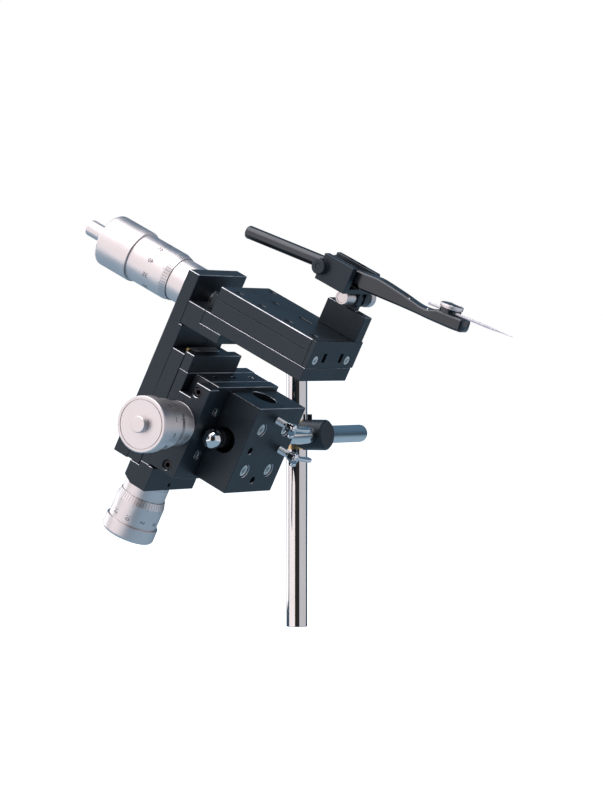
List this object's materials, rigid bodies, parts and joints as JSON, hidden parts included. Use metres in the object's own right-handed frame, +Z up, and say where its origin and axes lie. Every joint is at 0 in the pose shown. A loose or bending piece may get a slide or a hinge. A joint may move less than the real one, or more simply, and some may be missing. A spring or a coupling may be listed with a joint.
{
  "type": "three-axis micromanipulator",
  "caption": "Black three-axis micromanipulator with silver micrometer heads, clamped by a cross rod to a chrome pole, with a tilting holder for a glass electrode.",
  "frame": {"origin": "centre of the pole's plain foot face, where the stand the picture cuts off would carry on", "axes": "+Z up the pole, +Y away along the clamp rod, +X the way the electrode points; the stages are pitched about the rod"},
  "size_m": [0.2654, 0.213, 0.2312],
  "materials": {
    "black_anodised": "black anodised, fine matt with worn bright edges",
    "bright_chrome": "polished",
    "brass": "turned",
    "black_oxide_steel": "black oxide",
    "plain_steel": "turned or ground bright",
    "satin_aluminium": "satin silver with engraved black marks",
    "clear_glass": "drawn clear glass"
  },
  "bodies": {
    "stand": {"pole": "bright_chrome"},
    "liner": {"pole_liner": "brass"},
    "barrel": {"clamp_barrel": "black_anodised", "clamp_pad": "brass"},
    "pole_knob": {"pole_clamp_screw": "black_anodised"},
    "set_screw": {"rod_set_screw": "black_oxide_steel"},
    "rod": {"clamp_rod": "bright_chrome", "rod_ball": "bright_chrome"},
    "block": {"rod_block": "black_anodised", "block_cap_screws": "plain_steel", "cross_base": "black_anodised", "cross_rails": "black_anodised", "cross_rail_screws": "plain_steel", "cross_end_block": "black_anodised", "end_block_screws": "black_oxide_steel", "cross_gib": "brass", "cross_gib_screws": "black_oxide_steel", "cross_sleeve": "satin_aluminium"},
    "rod_wing": {"wing_screw_rod": "bright_chrome"},
    "post_wing": {"wing_screw_post": "bright_chrome"},
    "cross_stage": {"cross_carriage": "black_anodised", "guide_cap": "black_anodised", "foot_block": "black_anodised", "column_guide": "plain_steel", "column_sleeve": "satin_aluminium"},
    "cross_head": {"cross_spindle": "plain_steel", "cross_thimble": "satin_aluminium", "cross_ring": "satin_aluminium"},
    "cross_stub": {"cross_button": "satin_aluminium"},
    "column": {"column_slide": "black_anodised", "stop_screw": "brass", "column_gib": "brass", "column_plate": "black_anodised", "column_screws": "black_oxide_steel", "arm_bracket": "black_anodised", "arm_base": "black_anodised", "arm_guide": "plain_steel", "arm_sleeve": "satin_aluminium"},
    "column_head": {"column_spindle": "plain_steel", "column_thimble": "satin_aluminium", "column_ring": "satin_aluminium"},
    "arm": {"arm_carriage": "black_anodised", "arm_top_plate": "black_anodised", "top_plate_screws": "black_oxide_steel", "arm_end_plate": "black_anodised", "end_plate_screws": "plain_steel", "post": "black_anodised", "post_screws": "black_oxide_steel"},
    "arm_head": {"arm_spindle": "plain_steel", "arm_thimble": "satin_aluminium", "arm_ring": "satin_aluminium"},
    "arm_stub": {"arm_ratchet": "satin_aluminium"},
    "tilt_knob": {"tilt_screw": "plain_steel"},
    "head": {"holder_head": "black_anodised", "clamp_plate": "black_anodised", "clamp_plate_screws": "black_oxide_steel"},
    "pivot_knob": {"pivot_screw": "black_oxide_steel"},
    "holder": {"holder_body": "black_anodised"},
    "electrode": {"glass_electrode": "clear_glass"},
    "electrode_nut": {"thumb_nut": "plain_steel"}
  },
  "joints": [
    {"name": "height_on_pole", "type": "slide", "parent": "stand", "child": "liner", "axis": [0, 0, 1], "range_m": [-0.045, 0.028]},
    {"name": "swivel_about_pole", "type": "hinge", "parent": "liner", "child": "barrel", "pos_m": [0, 0, 0.1093], "axis": [0, 0, 1], "continuous": true},
    {"name": "pole_knob_turn", "type": "hinge", "parent": "barrel", "child": "pole_knob", "pos_m": [-0.02, 0, 0.1093], "axis": [1, 0, 0], "continuous": true},
    {"name": "set_screw_turn", "type": "hinge", "parent": "barrel", "child": "set_screw", "pos_m": [0.0085, 0, 0.1093], "axis": [0, 0, 1], "continuous": true},
    {"name": "reach_along_rod", "type": "slide", "parent": "barrel", "child": "rod", "axis": [0, 1, 0], "range_m": [-0.025, 0.028]},
    {"name": "pitch_about_rod", "type": "hinge", "parent": "rod", "child": "block", "pos_m": [0.0124, -0.0775, 0.1093], "axis": [0, 1, 0], "range_deg": [-60, 60]},
    {"name": "rod_wing_turn", "type": "hinge", "parent": "block", "child": "rod_wing", "pos_m": [0.0124, -0.062, 0.1093], "axis": [0.8942, 0, -0.4478], "continuous": true},
    {"name": "post_wing_turn", "type": "hinge", "parent": "block", "child": "post_wing", "pos_m": [0.02059, -0.0775, 0.12566], "axis": [0.8942, 0, -0.4478], "continuous": true},
    {"name": "cross_travel", "type": "slide", "parent": "block", "child": "cross_stage", "axis": [0, 1, 0], "range_m": [-0.0047, 0.0083]},
    {"name": "cross_head_turn", "type": "hinge", "parent": "cross_stage", "child": "cross_head", "pos_m": [-0.00262, -0.14, 0.11772], "axis": [0, 1, 0], "range_deg": [-3389, 5981]},
    {"name": "cross_stub_turn", "type": "hinge", "parent": "cross_head", "child": "cross_stub", "pos_m": [-0.00262, -0.15, 0.11772], "axis": [0, 1, 0], "continuous": true},
    {"name": "column_travel", "type": "slide", "parent": "cross_stage", "child": "column", "axis": [0.4478, 0, 0.8942], "range_m": [-0.0002, 0.0083]},
    {"name": "column_head_turn", "type": "hinge", "parent": "column", "child": "column_head", "pos_m": [-0.04344, -0.0986, 0.07016], "axis": [0.4478, 0, 0.8942], "range_deg": [-149, 5981]},
    {"name": "arm_travel", "type": "slide", "parent": "column", "child": "arm", "axis": [0.8942, 0, -0.4478], "range_m": [-0.007, 0.015]},
    {"name": "arm_head_turn", "type": "hinge", "parent": "arm", "child": "arm_head", "pos_m": [-0.0303, -0.0965, 0.2027], "axis": [0.8942, 0, -0.4478], "range_deg": [-5045, 10805]},
    {"name": "arm_stub_turn", "type": "hinge", "parent": "arm_head", "child": "arm_stub", "pos_m": [-0.07053, -0.0965, 0.22285], "axis": [0.8942, 0, -0.4478], "continuous": true},
    {"name": "head_tilt", "type": "hinge", "parent": "arm", "child": "head", "pos_m": [0.08297, -0.078, 0.18546], "axis": [0, 1, 0], "range_deg": [-14, 20]},
    {"name": "tilt_knob_turn", "type": "hinge", "parent": "arm", "child": "tilt_knob", "pos_m": [0.08297, -0.078, 0.18546], "axis": [0, 1, 0], "continuous": true},
    {"name": "holder_tilt", "type": "hinge", "parent": "head", "child": "holder", "pos_m": [0.07677, -0.093, 0.20165], "axis": [0, 1, 0], "range_deg": [-8, 8]},
    {"name": "pivot_knob_turn", "type": "hinge", "parent": "head", "child": "pivot_knob", "pos_m": [0.07677, -0.093, 0.20165], "axis": [0, 1, 0], "continuous": true},
    {"name": "electrode_slide", "type": "slide", "parent": "holder", "child": "electrode", "axis": [0.9391, 0, -0.3437], "range_m": [-0.008, 0.008]},
    {"name": "electrode_nut_turn", "type": "hinge", "parent": "holder", "child": "electrode_nut", "pos_m": [0.1497, -0.0921, 0.17904], "axis": [0.3437, 0, 0.9391], "continuous": true}
  ],
  "couplings": [
    {"joint": "cross_head_turn", "follows": "cross_travel", "rad_per_m": 12566},
    {"joint": "column_head_turn", "follows": "column_travel", "rad_per_m": 12566},
    {"joint": "arm_head_turn", "follows": "arm_travel", "rad_per_m": 12566}
  ]
}
